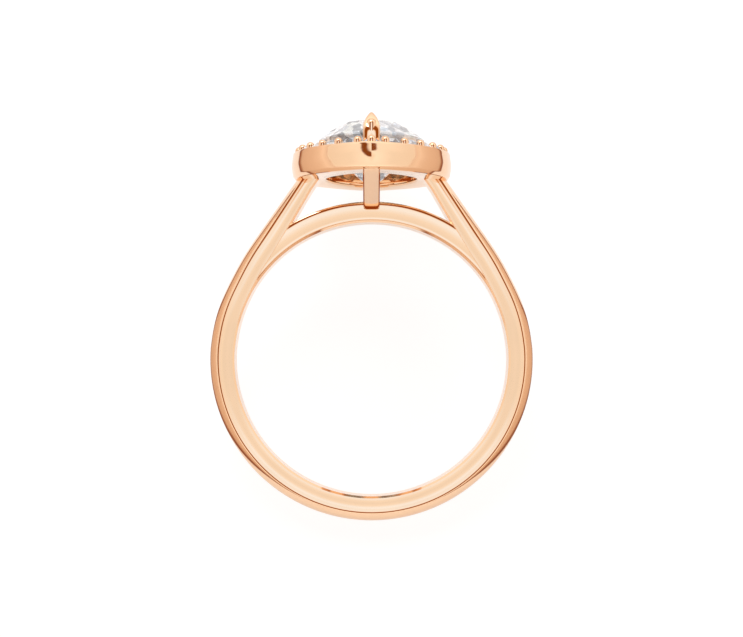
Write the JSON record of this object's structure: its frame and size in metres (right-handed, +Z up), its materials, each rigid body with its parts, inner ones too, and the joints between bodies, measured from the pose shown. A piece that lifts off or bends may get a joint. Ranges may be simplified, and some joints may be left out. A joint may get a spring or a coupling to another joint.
{
  "type": "halo ring",
  "caption": "Polished rose-gold finger ring with raised shoulders, a pointed halo of small round stones and a large pointed-oval stone, lying on its side.",
  "frame": {"origin": "middle of the area that the ring covers, on the surface that it lies on", "axes": "+X across the ring from side to side, +Y from the back of the band to the head, +Z up from the surface"},
  "size_m": [0.0196, 0.0248, 0.0145],
  "materials": {
    "rose_gold": "mirror polished",
    "cut_stone": "clear, cut with flat polished facets"
  },
  "bodies": {
    "root": {"mounting": "rose_gold", "centre_stone": "cut_stone", "halo_stone_01": "cut_stone", "halo_stone_02": "cut_stone", "halo_stone_03": "cut_stone", "halo_stone_04": "cut_stone", "halo_stone_05": "cut_stone", "halo_stone_06": "cut_stone", "halo_stone_07": "cut_stone", "halo_stone_08": "cut_stone", "halo_stone_09": "cut_stone", "halo_stone_10": "cut_stone", "halo_stone_11": "cut_stone", "halo_stone_12": "cut_stone", "halo_stone_13": "cut_stone", "halo_stone_14": "cut_stone", "halo_stone_15": "cut_stone", "halo_stone_16": "cut_stone", "halo_stone_17": "cut_stone", "halo_stone_18": "cut_stone", "halo_stone_19": "cut_stone", "halo_stone_20": "cut_stone", "halo_stone_21": "cut_stone", "halo_stone_22": "cut_stone", "halo_stone_23": "cut_stone", "halo_stone_24": "cut_stone"}
  },
  "joints": []
}
